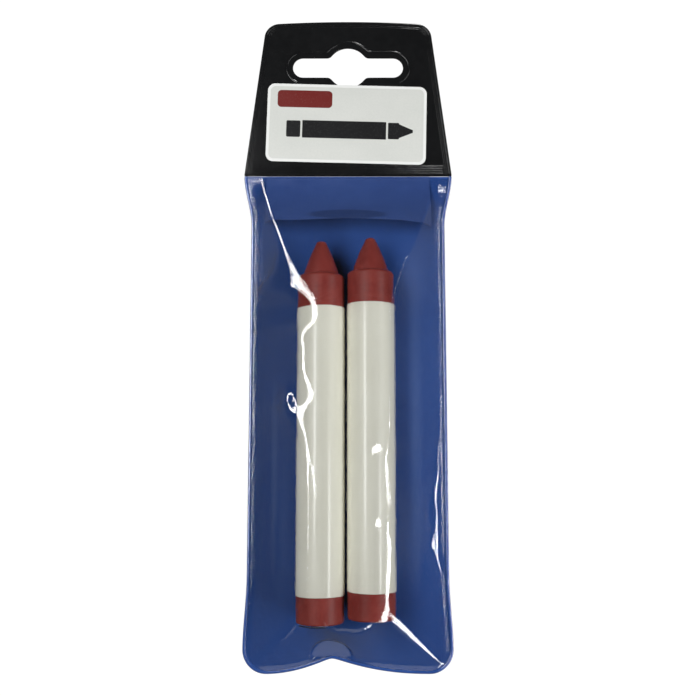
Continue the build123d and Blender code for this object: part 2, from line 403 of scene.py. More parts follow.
def new_group(name, inputs, output, kind="NodeSocketFloat"):
    """An empty shader node group with its tree, its inputs' sockets by name and its output's socket. Inputs
    are default values by name, and a tuple makes a vector."""
    group = bpy.data.node_groups.new(name, "ShaderNodeTree")
    for socket_name, default in inputs.items():
        socket_kind = "NodeSocketVector" if isinstance(default, tuple) else "NodeSocketFloat"
        socket = group.interface.new_socket(socket_name, in_out="INPUT", socket_type=socket_kind)
        socket.default_value = default
    group.interface.new_socket(output, in_out="OUTPUT", socket_type=kind)
    given = group.nodes.new("NodeGroupInput").outputs
    result = group.nodes.new("NodeGroupOutput").inputs[0]
    return group, Tree(group), given, result


def place_group():
    """Object coordinates turned from metres to millimetres."""
    group, tree, _, result = new_group("place_in_mm", {}, "Place", "NodeSocketVector")
    coordinates = tree.add("TexCoord").outputs["Object"]
    tree.feed(result, tree.vector("SCALE", coordinates, scale=1.0 / MM))
    return group


def emboss_group():
    """The film's fine rolled grain: two crossed sine waves at 45 degrees to the wallet, whose lines wander a
    little with noise. Height runs from 0 to 1."""
    group, tree, given, result = new_group("rolled_grain", {"Place": (0, 0, 0), "Pitch": 0.45}, "Height")
    wander = tree.add("TexNoise", {"Vector": given["Place"], "Scale": 0.9, "Detail": 3.0})
    drift = tree.vector("SCALE", wander.outputs["Color"], scale=0.5)
    moved = tree.split(tree.vector("ADD", given["Place"], drift))
    turns = tree.math("DIVIDE", 2 * math.pi / math.sqrt(2), given["Pitch"])
    waves = []
    for operation in ("ADD", "SUBTRACT"):
        line = tree.math(operation, moved["X"], moved["Y"])
        waves.append(tree.math("SINE", tree.math("MULTIPLY", line, turns)))
    tree.feed(result, tree.math("MULTIPLY_ADD", tree.math("MULTIPLY", *waves), 0.5, 0.5))
    return group


def cloud_group():
    """Soft handling marks: wide noise and fine noise added up, from about 0 to 1."""
    inputs = {"Place": (0, 0, 0), "Wide Scale": 0.06, "Fine Scale": 0.8}
    group, tree, given, result = new_group("handling_marks", inputs, "Amount")
    wide = tree.noise(given["Place"], given["Wide Scale"], 3.0)
    fine = tree.noise(given["Place"], given["Fine Scale"], 4.0, 0.6)
    blend = tree.math("MULTIPLY_ADD", fine, 0.45, tree.math("MULTIPLY", wide, 0.55))
    tree.feed(result, tree.ramp(blend, 0.3, 0.7))
    return group


def speck_group():
    """Scattered specks of dust and wax: round dots in a few cells of a Voronoi pattern."""
    inputs = {"Place": (0, 0, 0), "Cell Scale": 0.4, "Share": 0.2, "Size": 0.06}
    group, tree, given, result = new_group("specks", inputs, "Mask")
    cells = tree.add("TexVoronoi", {"Vector": given["Place"], "Scale": given["Cell Scale"]}).outputs
    pick = tree.add("SeparateColor", {0: cells["Color"]}).outputs
    chosen = tree.math("LESS_THAN", pick[0], given["Share"])
    size = tree.math("MULTIPLY", pick[1], given["Size"])
    dot = tree.math("LESS_THAN", cells["Distance"], size)
    tree.feed(result, tree.math("MULTIPLY", chosen, dot))
    return group


def block_group():
    """A printed block: 1 inside a rectangle with round corners, 0 outside, with a soft ink edge."""
    inputs = {"Place": (0, 0, 0), "Centre": (0, 0, 0), "Half Size": (1, 1, 0), "Corner": 0.2}
    group, tree, given, result = new_group("printed_block", inputs, "Mask")
    corner = tree.add("CombineXYZ", {0: given["Corner"], 1: given["Corner"]}).outputs[0]
    away = tree.vector("ABSOLUTE", tree.vector("SUBTRACT", given["Place"], given["Centre"]))
    away = tree.vector("ADD", tree.vector("SUBTRACT", away, given["Half Size"]), corner)
    away = tree.vector("MAXIMUM", away, (0.0, 0.0, 0.0))
    flat = tree.vector("MULTIPLY", away, (1.0, 1.0, 0.0))
    distance = tree.math("SUBTRACT", tree.vector("LENGTH", flat), given["Corner"])
    tree.feed(result, tree.ramp(distance, -INK_EDGE, INK_EDGE, 1.0, 0.0))
    return group


INK_EDGE = 0.06
PLACE = place_group()
EMBOSS = emboss_group()
CLOUDS = cloud_group()
SPECKS = speck_group()
BLOCK = block_group()


def embossed_vinyl(name, dark, light, roughness, gloss, depth_mm, pitch, painted_light_ovals=(), dust=0.0):
    """Opaque embossed film: the base colour wanders between two shades, and the rolled grain stands in the
    normal. Roughness is a pair of values. Each oval of painted light is (centre, half size, where its edge
    starts to fade, tint, strength, whether only the grain's tops take the tint): a painted darker patch, the
    reflection lost where the film touches the sheet above it, or a painted sheen band of grain that glints.
    Dust is how strongly pale specks show."""
    material, tree, shader = new_material(name)
    place = tree.group(PLACE)
    marks = tree.group(CLOUDS, Place=place, Wide_Scale=0.045, Fine_Scale=0.5)
    colour = tree.mix(marks, dark, light)
    grain = tree.group(EMBOSS, Place=place, Pitch=pitch)
    for centre, half, fade, tint, strength, on_grain in painted_light_ovals:
        away = tree.vector("SUBTRACT", place, (*centre, 0.0))
        away = tree.vector("MULTIPLY", away, (1.0 / half[0], 1.0 / half[1], 0.0))
        mask = tree.ramp(tree.vector("LENGTH", away), fade, 1.0, strength, 0.0)
        if on_grain:
            mask = tree.math("MULTIPLY", mask, grain)
        colour = tree.mix(mask, colour, tint)
    if dust > 0.0:
        dots = tree.group(SPECKS, Place=place, Cell_Scale=0.17, Share=0.3, Size=0.035)
        colour = tree.mix(tree.math("MULTIPLY", dots, dust), colour, (0.55, 0.58, 0.62, 1))
    inputs = {
        "Base Color": colour,
        "Roughness": tree.ramp(marks, 0.0, 1.0, *roughness),
        "Specular IOR Level": gloss,
        "Normal": tree.bump(grain, depth_mm),
    }
    tree.fill(shader, inputs)
    return material


def clear_vinyl():
    """Clear embossed film: glass with the rolled grain in its normal, whose shadow rays pass straight on."""
    material, tree, shader = new_material("clear_film_finish")
    grain = tree.group(EMBOSS, Place=tree.group(PLACE), Pitch=0.46)
    inputs = {
        "Base Color": (0.985, 0.99, 0.99, 1.0),
        "Transmission Weight": 1.0,
        "Roughness": 0.05,
        "IOR": 1.5,
        "Normal": tree.bump(grain, 0.01),
    }
    tree.fill(shader, inputs)
    passing = tree.add("BsdfTransparent", {"Color": (0.965, 0.97, 0.97, 1.0)})
    rays = tree.add("LightPath").outputs
    tree.show_mix(rays["Is Shadow Ray"], shader, passing)
    return material


def printed_label():
    """Coated label paper with a plain generic print: a red colour swatch and a black crayon sign."""
    material, tree, shader = new_material("label_finish")
    place = tree.group(PLACE)
    turned = {"Vector": place, "Location": LABEL_CENTRE, "Rotation": (0.0, 0.0, LABEL_TURN)}
    local = tree.add("Mapping", turned, vector_type="TEXTURE").outputs[0]
    marks = tree.group(CLOUDS, Place=place, Wide_Scale=0.08, Fine_Scale=2.0)
    paper = tree.mix(marks, (0.63, 0.645, 0.61, 1), (0.68, 0.69, 0.655, 1))

    def block(centre, half, corner):
        """The mask of one printed block on the label."""
        return tree.group(BLOCK, Place=local, Centre=(*centre, 0), Half_Size=(*half, 0), Corner=corner)

    field = block((0.0, 0.0), (LABEL_HALF_X - LABEL_BORDER, LABEL_HALF_Y - LABEL_BORDER), 1.4)
    paper = tree.mix(field, (0.82, 0.83, 0.81, 1), paper)
    swatch = block((-11.4, 6.7), (7.4, 2.4), 1.1)
    split = tree.split(local)
    off_axis = tree.math("ABSOLUTE", tree.math("SUBTRACT", split["Y"], SIGN_Y))
    cone_edge = tree.math("MULTIPLY_ADD", split["X"], -0.42, 7.9)
    in_cone = tree.ramp(tree.math("SUBTRACT", cone_edge, off_axis), -INK_EDGE, INK_EDGE)
    ink = tree.math("MULTIPLY", in_cone, block((16.0, SIGN_Y), (1.9, 2.3), 0.5))
    butt = (-14.3, 1.9, 2.3, 0.4)
    sleeve = (-0.6, 11.3, 2.45, 0.15)
    shoulder = (12.7, 1.5, 2.3, 0.3)
    for x, half_x, half_y, corner in (butt, sleeve, shoulder):
        ink = tree.math("MAXIMUM", ink, block((x, SIGN_Y), (half_x, half_y), corner))
    cover = tree.ramp(tree.noise(place, 6.0, 3.0), 0.2, 0.42, 0.86, 1.0)
    colour = tree.mix(tree.math("MULTIPLY", swatch, cover), paper, (0.16, 0.02, 0.018, 1))
    colour = tree.mix(tree.math("MULTIPLY", ink, cover), colour, (0.012, 0.012, 0.013, 1))
    inputs = {
        "Base Color": colour,
        "Roughness": tree.ramp(marks, 0.0, 1.0, 0.38, 0.5),
        "Specular IOR Level": 0.15,
        "Normal": tree.bump(tree.noise(place, 9.0, 3.0, 0.6), 0.004),
    }
    tree.fill(shader, inputs)
    return material


def sleeve_paper():
    """Glossy wrapping paper: a warm white with faint mottling, a few specks of wax and a soft coat."""
    material, tree, shader = new_material("sleeve_paper_finish")
    place = tree.group(PLACE)
    marks = tree.group(CLOUDS, Place=place, Wide_Scale=0.07, Fine_Scale=0.7)
    paper = tree.mix(marks, (0.8, 0.785, 0.68, 1), (0.85, 0.835, 0.735, 1))
    dots = tree.group(SPECKS, Place=place, Cell_Scale=0.33, Share=0.3, Size=0.05)
    inputs = {
        "Base Color": tree.mix(tree.math("MULTIPLY", dots, 0.6), paper, (0.2, 0.15, 0.11, 1)),
        "Roughness": tree.ramp(marks, 0.0, 1.0, 0.28, 0.4),
        "Normal": tree.bump(tree.noise(place, 5.0, 3.0, 0.6), 0.003),
        "Specular IOR Level": 0.03,
        "Coat Weight": 0.5,
        "Coat Roughness": 0.2,
    }
    tree.fill(shader, inputs)
    return material


def red_wax():
    """Dark red marking wax: colour clouds, paler rubbed spots and a fine pitted surface."""
    material, tree, shader = new_material("red_wax_finish")
    place = tree.group(PLACE)
    marks = tree.group(CLOUDS, Place=place, Wide_Scale=0.16, Fine_Scale=1.1)
    wax = tree.mix(marks, (0.18, 0.0235, 0.019, 1), (0.262, 0.0425, 0.034, 1))
    dots = tree.group(SPECKS, Place=place, Cell_Scale=0.55, Share=0.25, Size=0.09)
    inputs = {
        "Base Color": tree.mix(tree.math("MULTIPLY", dots, 0.5), wax, (0.32, 0.14, 0.12, 1)),
        "Roughness": tree.ramp(marks, 0.0, 1.0, 0.36, 0.55),
        "Normal": tree.bump(tree.noise(place, 1.6, 4.0, 0.62), 0.05),
        "Specular IOR Level": 0.25,
        "Subsurface Weight": 0.08,
        "Subsurface Radius": (0.0012, 0.0004, 0.0003),
    }
    tree.fill(shader, inputs)
    return material


HEADER_FINISH = embossed_vinyl(
    "header_finish", (0.0055, 0.0057, 0.0062, 1), (0.0078, 0.008, 0.0086, 1), (0.15, 0.2), 0.4, 0.006, 0.5
)
# Painted sheen: the pale tint of grain bands on the back film, standing in for grain that glints in the
# light.
PAINTED_SHEEN_TINT = (0.11, 0.19, 0.5, 1)
BLUE_FINISH = embossed_vinyl(
    "blue_film_finish",
    (0.025, 0.07, 0.27, 1),
    (0.032, 0.086, 0.31, 1),
    (0.14, 0.2),
    0.5,
    0.012,
    0.5,
    # Painted sheen bands beside the crayons, tinting only the grain's tops.
    painted_light_ovals=(
        ((17.4, -22.0), (2.6, 52.0), 0.0, PAINTED_SHEEN_TINT, 0.9, True),
        ((-18.8, -34.0), (1.3, 34.0), 0.0, PAINTED_SHEEN_TINT, 0.8, True),
        ((-16.6, -48.0), (3.2, 30.0), 0.0, PAINTED_SHEEN_TINT, 0.5, True),
        ((16.5, 14.0), (5.5, 16.0), 0.0, PAINTED_SHEEN_TINT, 0.55, True),
    ),
    dust=0.7,
)
FLAP_FINISH = embossed_vinyl(
    "flap_finish",
    (0.034, 0.07, 0.235, 1),
    (0.042, 0.085, 0.27, 1),
    (0.3, 0.4),
    0.25,
    0.012,
    0.5,
    # Painted shade: a darker patch for the reflection lost where the flap touches the clear film.
    painted_light_ovals=(((-0.2, 30.6), (12.0, 1.65), 0.7, (0.012, 0.025, 0.08, 1), 0.55, False),),
)
CLEAR_FINISH = clear_vinyl()
LABEL_FINISH = printed_label()
PAPER_FINISH = sleeve_paper()
WAX_FINISH = red_wax()


# Clear film shape
# Each station is (y, distance of the fold's bright line from the middle, bend radius of the fold).
LEFT_FOLD = (
    (41.6, 22.6, 1.0),
    (38.2, 22.4, 1.0),
    (35.3, 21.4, 1.2),
    (30.0, 19.7, 1.6),
    (25.0, 17.7, 2.2),
    (19.3, 15.7, 3.2),
    (14.3, 14.0, 8.0),
    (11.8, 13.2, 14.0),
    (9.6, 11.8, 17.0),
    (7.6, 9.8, 12.0),
    (5.6, 8.4, 7.4),
    (3.4, 8.0, 6.5),
    (1.4, 8.3, 6.5),
    (0.0, 9.2, 6.0),
    (-1.2, 11.0, 4.5),
    (-2.6, 11.6, 3.2),
    (-6.0, 10.9, 2.8),
    (-11.0, 11.0, 3.0),
    (-14.0, 10.1, 5.5),
    (-16.5, 9.0, 7.0),
    (-18.6, 9.4, 7.5),
    (-20.4, 11.4, 8.0),
    (-22.6, 11.9, 6.0),
    (-25.0, 11.3, 4.0),
    (-28.0, 10.5, 3.0),
    (-34.0, 9.8, 1.6),
    (-40.0, 9.6, 0.8),
    (-86.0, 9.7, 0.8),
)
RIGHT_FOLD = (
    (41.6, 23.0, 1.2),
    (35.0, 21.8, 1.0),
    (29.0, 19.6, 0.4),
    (22.0, 16.8, 0.15),
    (14.0, 13.2, 0.12),
    (6.0, 10.4, 0.12),
    (-29.0, 9.9, 0.12),
    (-33.0, 9.3, 3.5),
    (-37.7, 9.6, 6.0),
    (-43.0, 10.2, 7.0),
    (-47.3, 11.0, 7.5),
    (-53.2, 10.1, 7.0),
    (-59.0, 9.8, 6.6),
    (-63.7, 9.4, 6.4),
    (-67.2, 9.3, 6.0),
    (-86.0, 9.3, 6.0),
)
FOLD_MARGIN = 1.2
LEFT_TILT = math.radians(14.0)
RIGHT_TILT = math.radians(29.0)
# Each station is (y, bend radius at the weld).
LEFT_WELD_BEND = (
    (41.6, 0.8),
    (30.0, 0.6),
    (14.0, 0.5),
    (-68.0, 0.5),
    (-80.6, 0.5),
)
RIGHT_WELD_BEND = (
    (41.6, 0.8),
    (30.0, 0.5),
    (14.0, 0.4),
    (-27.0, 0.4),
    (-29.0, 1.8),
    (-33.0, 3.0),
    (-36.0, 1.8),
    (-40.0, 4.0),
    (-46.8, 6.4),
    (-50.0, 3.6),
    (-54.3, 6.0),
    (-59.0, 2.6),
    (-62.0, 0.5),
    (-80.6, 0.5),
)
# Each dent is (x, y, half width, half length, height) of a soft swelling in the film.
DENTS = (
    (-15.6, -18.4, 2.0, 2.8, 2.6),
    (8.9, -30.6, 2.3, 2.1, 1.0),
    (8.9, -48.6, 1.9, 2.9, 0.8),
    (-14.6, 9.6, 1.6, 1.6, 0.4),
    (18.6, -46.0, 2.4, 6.0, 0.5),
    (17.8, -58.0, 2.2, 5.0, -0.4),
    (21.6, -46.5, 0.9, 3.4, 0.22),
    (21.9, -54.0, 0.8, 2.6, 0.2),
    (22.6, -34.0, 0.7, 4.0, 0.15),
)
# Each crease is (half width, height, points along it).
CREASES = (
    (0.9, 0.18, ((-10.6, -24.0), (-9.4, -29.5), (-7.8, -35.0), (-7.0, -42.0), (-6.8, -46.0))),
    (0.9, 0.22, ((-12.5, -74.0), (-17.0, -77.0), (-21.0, -79.5))),
    (1.0, 0.2, ((-17.5, -40.0), (-18.2, -50.0), (-17.8, -62.0))),
)
# The slope up from the foot, which is flatter beside the crayons, and the hips between it and the sides.
LAND_EDGE = 1.3
LAND_BLEND = 1.4
FOOT_SPARE = 1.5
FOOT_LEAN = 5.6
LEAN_START = 2.0
LEAN_RUN = 9.0
LEFT_HIP = 2.0
RIGHT_HIP = 1.9
HIP_EDGE = 0.15
HIP_START = 3.0
HIP_RUN = 11.0
# How the film falls past the crayons' butts, and how far from the weld it is free to swell.
BUTT_DROP = 18.0
BUTT_LAP = 0.1
BUTT_RUN = 2.6
REST_BLEND = 0.5
REST_MARGIN = 1.0
NO_REST = -9.0
FREE_RUN = 3.0
# Flat facet of the film above the notch, and the curl of its lip at the mouth.
FACET_CENTRE = (-4.2, -82.0)
FACET_HALF = (5.3, 5.4)
FACET_TILT = math.radians(27.0)
FACET_EDGE = 0.12
LIP_CURL = 0.45
LIP_LENGTH = 1.0
LIP_HALF = 21.5
LIP_RUN = 2.0


def smoothed(y, stations, column, spread=0.9):
    """A station value at y: straight between stations, then blurred along y by a bell curve."""
    table = np.array(stations)[::-1]
    step = 0.1
    line_y = np.arange(table[0, 0] - 5.0, table[-1, 0] + 5.0, step)
    line = np.interp(line_y, table[:, 0], table[:, column])
    reach = np.arange(-3.0 * spread, 3.0 * spread + step, step)
    bell = np.exp(-0.5 * (reach / spread) ** 2)
    padded = np.pad(line, len(bell) // 2, mode="edge")
    return np.interp(y, line_y, np.convolve(padded, bell / bell.sum(), mode="valid")[: len(line_y)])


def soft_min(a, b, blend):
    """The smaller of two heights, with the corner rounded off where they differ by less than blend."""
    gap = np.clip(1.0 - np.abs(a - b) / blend, 0.0, 1.0)
    return np.minimum(a, b) - blend / 4.0 * gap**2


def side_height(d, level_half, height, top_bend, weld_bend, weld_x):
    """The film's height at a distance d from the middle: level, an arc over, a straight slope that touches
    both arcs, an arc out onto the weld, and flat there."""
    run = weld_x - level_half
    bends = top_bend + weld_bend
    reach = np.hypot(run, height - bends)
    slope = np.arctan2(height - bends, run) + np.arcsin(np.clip(bends / reach, 0.0, 1.0))
    top_end = level_half + top_bend * np.sin(slope)
    weld_start = weld_x - weld_bend * np.sin(slope)
    over = height - top_bend + np.sqrt(np.clip(top_bend**2 - (d - level_half) ** 2, 0.0, None))
    straight = height - top_bend * (1.0 - np.cos(slope)) - np.tan(slope) * (d - top_end)
    under = weld_bend - np.sqrt(np.clip(weld_bend**2 - (weld_x - d) ** 2, 0.0, None))
    return np.select(
        [d <= level_half, d <= top_end, d <= weld_start, d <= weld_x], [height, over, straight, under], 0.0
    )


def crease_distance(x, y, points):
    """The distance from each place to a line of straight runs, and how far along the line its nearest point
    lies, from 0 to 1."""
    points = np.array(points)
    lengths = np.linalg.norm(np.diff(points, axis=0), axis=1)
    start = np.concatenate([[0.0], np.cumsum(lengths)])
    best = np.full(x.shape, 1e9)
    share = np.zeros(x.shape)
    for a, b, length, gone in zip(points[:-1], points[1:], lengths, start):
        t = np.clip(((x - a[0]) * (b[0] - a[0]) + (y - a[1]) * (b[1] - a[1])) / length**2, 0.0, 1.0)
        d = np.hypot(x - a[0] - t * (b[0] - a[0]), y - a[1] - t * (b[1] - a[1]))
        nearer = d < best
        best = np.where(nearer, d, best)
        share = np.where(nearer, (gone + t * length) / start[-1], share)
    return best, share


def film_inner(x, y):
    """Height of the clear film's inner face: a profile across the wallet whose folds follow their stations
    and which ramps down to the mouth, cut by the slope up from the foot and kept above the crayons. Dents and
    creases stand on it as bell curves of the distance, with a flat facet above the notch and a curled lip."""
    weld_x = half_width(y) - WELD
    left = x < 0.0
    line = np.where(left, smoothed(y, LEFT_FOLD, 1), smoothed(y, RIGHT_FOLD, 1))
    bend = np.where(left, smoothed(y, LEFT_FOLD, 2), smoothed(y, RIGHT_FOLD, 2))
    weld_bend = np.where(left, smoothed(y, LEFT_WELD_BEND, 1, 2.0), smoothed(y, RIGHT_WELD_BEND, 1, 2.0))
    tilt = np.where(left, math.sin(LEFT_TILT), math.sin(RIGHT_TILT))
    level_half = np.minimum(line - bend * tilt, weld_x - FOLD_MARGIN)
    fall = smooth_step((y - RAMP_Y) / (MOUTH_Y - RAMP_Y))
    height = CREST_RISE + (MOUTH_HEIGHT - CREST_RISE) * fall
    side = side_height(np.abs(x), level_half, height, bend, weld_bend, weld_x)
    land_y = foot_line(np.clip(x, -FOOT_HALF, FOOT_HALF)) + LAND_EDGE
    lean = FOOT_LEAN * smooth_step((np.abs(x) - LEAN_START) / LEAN_RUN)
    slope = (CREST_RISE + FOOT_SPARE) / (CRAYONS[0][1] + lean - land_y)
    foot = -soft_min(-slope * (y - land_y), 0.0, LAND_BLEND)
    hip = HIP_EDGE + RIGHT_HIP * smooth_step((y - BOTTOM_Y - HIP_START) / HIP_RUN)
    z = soft_min(side, foot, np.where(left, LEFT_HIP, hip))
    for crayon_x, butt_y, crayon_z in CRAYONS:
        room = REST_RADIUS**2 - (x - crayon_x) ** 2
        drop = BUTT_DROP * smooth_step((butt_y + BUTT_LAP - y) / BUTT_RUN)
        rest = crayon_z - WELD_Z + np.sqrt(np.maximum(room, 0.0)) - drop
        rest = np.where((room > 0.0) & (y < RAMP_Y - REST_MARGIN), rest, NO_REST)
        z = -soft_min(-z, -rest, REST_BLEND)
    free = smooth_step((weld_x - np.abs(x)) / FREE_RUN)
    for dent_x, dent_y, wide, long, rise_mm in DENTS:
        z = z + rise_mm * free * np.exp(-(((x - dent_x) / wide) ** 2) - ((y - dent_y) / long) ** 2)
    for wide, rise_mm, points in CREASES:
        distance, share = crease_distance(x, y, points)
        taper = np.clip(4.0 * share * (1.0 - share), 0.0, 1.0) ** 0.6
        z = z + rise_mm * free * taper * np.exp(-((distance / wide) ** 2))
    reach = np.hypot((x - FACET_CENTRE[0]) / FACET_HALF[0], (y - FACET_CENTRE[1]) / FACET_HALF[1])
    facet = FOOT_STEP + math.tan(FACET_TILT) * np.maximum(y - FACET_CENTRE[1], 0.0)
    inside = smooth_step((1.0 + FACET_EDGE / 2 - reach) / FACET_EDGE)
    z = z + (facet - z) * inside * (y > FACET_CENTRE[1])
    curled = smooth_step((LIP_HALF - np.abs(x)) / LIP_RUN)
    z = z - LIP_CURL * curled * np.clip((y - MOUTH_Y + LIP_LENGTH) / LIP_LENGTH, 0.0, 1.0) ** 2
    return WELD_Z + z


def surface_normals(grid):
    """Unit normals of a grid of points, from the cross product of its two directions."""
    normal = np.cross(np.gradient(grid, axis=1), np.gradient(grid, axis=0))
    normal /= np.maximum(np.linalg.norm(normal, axis=2, keepdims=True), 1e-9)
    return np.where(normal[..., 2:] < 0.0, -normal, normal)


def pouch_grid(across, along, inset, end_y):
    """Places over the pouch's outline, drawn in by inset at its sides and foot: across runs from -1 to 1 over
    the width, and along from 0 at the foot to 1 at end_y."""
    foot_x = across * (FOOT_HALF - inset)
    foot_y = foot_line(across * FOOT_HALF) + inset
    y = foot_y[None, :] + (end_y - foot_y)[None, :] * along[:, None]
    x = across[None, :] * (half_width(y) - inset)
    return np.where(along[:, None] > 0.0, x, foot_x[None, :]), y


def make_clear_film():
    """The clear front film as a closed shell: its inner face over the pouch's outline, with two fine weld
    lines beside the edge, and its outer face one film thickness along the normals."""
    edge = np.linspace(0.0, 1.0, 16)[:-1]
    middle = np.linspace(-1.0, 1.0, 152)
    edge_share = EDGE_BAND / (WAIST_HALF - FILM_EDGE)
    across = np.concatenate(
        [-1.0 + edge * edge_share, middle * (1.0 - edge_share), (1.0 - edge * edge_share)[::-1]]
    )
    along = np.concatenate([np.linspace(0.0, 0.1, 40)[:-1], np.linspace(0.1, 1.0, 205)])
    x, y = pouch_grid(across, along, FILM_EDGE, MOUTH_Y)
    z = film_inner(x, y)
    from_side = half_width(y) - np.abs(x)
    from_foot = y - foot_line(np.clip(x, -FOOT_HALF, FOOT_HALF))
    from_edge = np.minimum(from_side, from_foot)
    for line in WELD_LINES:
        z = z + WELD_LINE_RISE * np.exp(-(((from_edge - line) / WELD_LINE_HALF) ** 2))
    inner = np.stack([x, y, z], 2)
    outer = inner + FILM * surface_normals(inner)
    piece = add_piece("clear_film", [(shell_rings(outer, inner), False, True)], CLEAR_FINISH, 70.0)
    return place_piece(piece, "pouch", "film_clear", "front_panel")


def make_back_film():
    """The blue back film: a flat sheet over the pouch's outline, and its half-round rim swept round the sides
    and the foot."""
    across = np.sin(np.linspace(-1.0, 1.0, 121) * math.pi / 2)
    along = np.linspace(0.0, 1.0, 120)
    x, y = pouch_grid(across, along, BACK_INSET, BACK_TOP_Y)
    upper = np.stack([x, y, np.full_like(x, FILM)], 2)
    lower = np.stack([x, y, np.zeros_like(x)], 2)
    turn = np.linspace(0.0, math.pi, 17)
    d = RIM_WIDTH / 2 * (1.0 - np.cos(turn))
    z = RIM_FOOT_Z + (RIM_TOP_Z - RIM_FOOT_Z) * np.sin(turn) ** 0.5
    rim = sweep(pouch_path(BACK_TOP_Y), np.stack([d, z], 1), False)
    surfaces = [(shell_rings(upper, lower), False, True), (capped(rim), False, True)]
    piece = add_piece("back_film", surfaces, BLUE_FINISH)
    return place_piece(piece, "pouch", "film_blue", "back_panel")


def make_tuck_flap():
    """The tuck flap: a sheet that hangs from a round root at the seam and follows the clear film from inside,
    with a lower edge that sways and dips at its right end, a swelling where it touches the film, as a bell
    curve, and small waves under the seam."""
    across = np.linspace(-1.0, 1.0, 121)
    along = np.linspace(0.0, 1.0, 46)
    x = np.broadcast_to(across * FLAP_HALF, (len(along), len(across)))
    dip = FLAP_DIP * smooth_step((x - FLAP_DIP_X) / FLAP_DIP_RUN) - FLAP_SWAY * np.cos(x / FLAP_SWAY_LENGTH)
    low_y = FLAP_LOW_Y + FLAP_EDGE - dip
    y = FLAP_ROOT_Y + (low_y - FLAP_ROOT_Y) * along[:, None]
    under_film = film_inner(x, np.minimum(y, MOUTH_Y)) - FLAP_BELOW_FILM
    touch_x = (x - FLAP_TOUCH_PLACE[0]) / FLAP_TOUCH_HALF[0]
    touch_y = (y - FLAP_TOUCH_PLACE[1]) / FLAP_TOUCH_HALF[1]
    touch = FLAP_TOUCH * np.exp(-(touch_x**2) - touch_y**2)
    under_seam = np.exp(-(((y - FLAP_WAVE_Y) / FLAP_WAVE_HALF) ** 2))
    wave = FLAP_WAVE * np.sin(x / FLAP_WAVE_LENGTH + 0.6) * under_seam
    z = np.maximum(under_film + touch + wave, FLAP_ROOT_Z)
    z = FLAP_ROOT_Z + (z - FLAP_ROOT_Z) * smooth_step(along[:, None] * 7.0)
    sheet = np.stack([x, y, z], 2)
    half = FLAP_THICKNESS / 2 * surface_normals(sheet)
    turn = np.linspace(0.0, 2.0 * math.pi, 13)[:-1]
    root_x = np.linspace(-FLAP_HALF, FLAP_HALF, 3)
    root = np.stack(
        np.broadcast_arrays(
            root_x[:, None],
            FLAP_ROOT_Y + FLAP_THICKNESS * np.cos(turn)[None, :],
            FLAP_ROOT_Z + FLAP_THICKNESS * np.sin(turn)[None, :],
        ),
        2,
    )
    surfaces = [(shell_rings(sheet + half, sheet - half), False, True), (capped(root), False, True)]
    piece = add_piece("tuck_flap_film", surfaces, FLAP_FINISH)
    return place_piece(piece, "flap", "film_blue", "tuck_flap")


def header_path():
    """The header's outline as a closed path, anticlockwise from the lower left corner: the seam edge, the
    right side, a round corner, the crowned top, a round corner and the left side."""
    rise = TOP_Y - HEADER_CROWN - SEAM_Y
    lean = math.atan2(SEAM_HALF - HEADER_TOP_HALF, rise)
    radius = HEADER_CORNER
    corner_y = TOP_Y - HEADER_CROWN - radius
    side_x = SEAM_HALF - (corner_y + radius * math.sin(lean) - SEAM_Y) * math.tan(lean)
    corner_x = side_x - radius * math.cos(lean)
    turn = np.linspace(lean, math.pi / 2 - 0.03, HEADER_STEPS // 3)
    corner = np.stack([corner_x + radius * np.cos(turn), corner_y + radius * np.sin(turn)], 1)
    top_x = np.linspace(corner[-1, 0], -corner[-1, 0], HEADER_STEPS)[1:-1]
    top_y = corner[-1, 1] + HEADER_CROWN * 0.9 * (1.0 - (top_x / corner[-1, 0]) ** 2)
    top = np.stack([top_x, top_y], 1)
    low_x = np.linspace(-SEAM_HALF, SEAM_HALF, HEADER_STEPS)
    low = np.stack([low_x, np.full(HEADER_STEPS, SEAM_Y)], 1)
    share = np.linspace(0.0, 1.0, HEADER_STEPS)[1:-1, None]
    right = low[-1] + (corner[0] - low[-1]) * share
    mirror = np.array([-1.0, 1.0])
    return np.concatenate([low, right, corner, top, corner[::-1] * mirror, right[::-1] * mirror])


def slot_path(grow, count=480):
    """The hanging slot's outline as a closed path, anticlockwise from its right end: the farther of a long
    slot with round ends and a round middle at each angle, with the corners between them rounded by a blur."""
    angle = np.linspace(0.0, 2.0 * math.pi, count * 8, endpoint=False)
    arm = SLOT_ARM + grow
    straight = SLOT_HALF - SLOT_ARM
    cosine = np.abs(np.cos(angle))
    sine = np.abs(np.sin(angle))
    flat = arm / np.maximum(sine, 1e-9)
    cap = straight * cosine + np.sqrt(np.maximum(arm**2 - (straight * sine) ** 2, 0.0))
    reach = np.where(flat * cosine <= straight, flat, cap)
    reach = np.maximum(reach, SLOT_MIDDLE + grow)
    outline = np.stack([reach * np.cos(angle), reach * np.sin(angle)], 1)
    lengths = np.linalg.norm(np.roll(outline, -1, 0) - outline, axis=1)
    gone = np.concatenate([[0.0], np.cumsum(lengths)])
    even = np.linspace(0.0, gone[-1], count, endpoint=False)
    ring = np.concatenate([outline, outline[:1]])
    path = np.stack([np.interp(even, gone, ring[:, i]) for i in (0, 1)], 1)
    spread = SLOT_BLEND / (gone[-1] / count) / 2.6
    reach_steps = np.arange(-int(3 * spread), int(3 * spread) + 1)
    bell = np.exp(-0.5 * (reach_steps / spread) ** 2)
    bell /= bell.sum()
    wrapped = np.pad(path, ((len(bell) // 2, len(bell) // 2), (0, 0)), mode="wrap")
    soft = np.stack([np.convolve(wrapped[:, i], bell, mode="valid") for i in (0, 1)], 1)
    near_corner = np.exp(-(((np.abs(path[:, 0]) - SLOT_CORNER_X) / SLOT_CORNER_SPREAD) ** 2))[:, None]
    return path + (soft - path) * near_corner + np.array([0.0, SLOT_Y])


